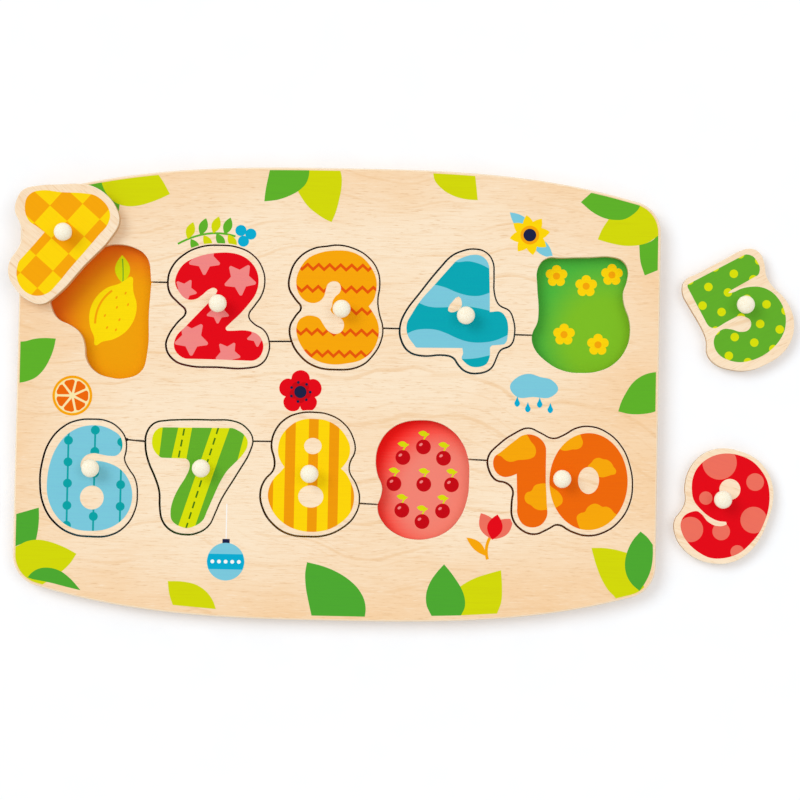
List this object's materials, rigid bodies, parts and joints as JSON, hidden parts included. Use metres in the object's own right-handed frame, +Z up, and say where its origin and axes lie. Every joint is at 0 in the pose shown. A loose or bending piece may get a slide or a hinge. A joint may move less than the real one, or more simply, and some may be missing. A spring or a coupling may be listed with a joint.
{
  "type": "wooden number puzzle",
  "caption": "Wooden number puzzle: a board with shaped wells and flat number tiles, each lifted by a small turned knob; some tiles lie loose.",
  "frame": {"origin": "centre of the board's underside", "axes": "+X along the board's length, towards the loose tiles beside it; +Y towards the far long edge; +Z up"},
  "size_m": [0.3684, 0.212, 0.0254],
  "materials": {
    "base_wood": "plain sanded plywood, unprinted underside, printed floor in each well",
    "panel_wood": "pale fine-grained plywood face, satin clear lacquer, printed motifs",
    "knob_wood": "turned pale hardwood, smooth satin lacquer",
    "tile_1_wood": "sanded pale plywood, satin, screen-printed yellow number with amber checks",
    "tile_2_wood": "sanded pale plywood, satin, screen-printed red number with pink stars",
    "tile_3_wood": "sanded pale plywood, satin, screen-printed amber number with orange zigzags",
    "tile_4_wood": "sanded pale plywood, satin, screen-printed teal number with light blue bands",
    "tile_5_wood": "sanded pale plywood, satin, screen-printed green number with lime dots",
    "tile_6_wood": "sanded pale plywood, satin, screen-printed light blue number with teal beads",
    "tile_7_wood": "sanded pale plywood, satin, screen-printed green number with yellow roads",
    "tile_8_wood": "sanded pale plywood, satin, screen-printed yellow number with amber stripes",
    "tile_9_wood": "sanded pale plywood, satin, screen-printed red number with salmon spots",
    "tile_10_wood": "sanded pale plywood, satin, screen-printed orange number with amber clouds"
  },
  "bodies": {
    "board": {"base_panel": "base_wood", "top_panel": "panel_wood"},
    "number_1": {"tile_1": "tile_1_wood", "knob_1": "knob_wood"},
    "number_2": {"tile_2": "tile_2_wood", "knob_2": "knob_wood"},
    "number_3": {"tile_3": "tile_3_wood", "knob_3": "knob_wood"},
    "number_4": {"tile_4": "tile_4_wood", "knob_4": "knob_wood"},
    "number_5": {"tile_5": "tile_5_wood", "knob_5": "knob_wood"},
    "number_6": {"tile_6": "tile_6_wood", "knob_6": "knob_wood"},
    "number_7": {"tile_7": "tile_7_wood", "knob_7": "knob_wood"},
    "number_8": {"tile_8": "tile_8_wood", "knob_8": "knob_wood"},
    "number_9": {"tile_9": "tile_9_wood", "knob_9": "knob_wood"},
    "number_10": {"tile_10": "tile_10_wood", "knob_10": "knob_wood"}
  },
  "joints": [
    {"name": "number_1_lift", "type": "slide", "parent": "board", "child": "number_1", "axis": [0, 0, 1], "range_m": [0, 0.03]},
    {"name": "number_2_lift", "type": "slide", "parent": "board", "child": "number_2", "axis": [0, 0, 1], "range_m": [0, 0.03]},
    {"name": "number_3_lift", "type": "slide", "parent": "board", "child": "number_3", "axis": [0, 0, 1], "range_m": [0, 0.03]},
    {"name": "number_4_lift", "type": "slide", "parent": "board", "child": "number_4", "axis": [0, 0, 1], "range_m": [0, 0.03]},
    {"name": "number_5_lift", "type": "slide", "parent": "board", "child": "number_5", "axis": [0, 0, 1], "range_m": [0, 0.03]},
    {"name": "number_6_lift", "type": "slide", "parent": "board", "child": "number_6", "axis": [0, 0, 1], "range_m": [0, 0.03]},
    {"name": "number_7_lift", "type": "slide", "parent": "board", "child": "number_7", "axis": [0, 0, 1], "range_m": [0, 0.03]},
    {"name": "number_8_lift", "type": "slide", "parent": "board", "child": "number_8", "axis": [0, 0, 1], "range_m": [0, 0.03]},
    {"name": "number_9_lift", "type": "slide", "parent": "board", "child": "number_9", "axis": [0, 0, 1], "range_m": [0, 0.03]},
    {"name": "number_10_lift", "type": "slide", "parent": "board", "child": "number_10", "axis": [0, 0, 1], "range_m": [0, 0.03]}
  ]
}
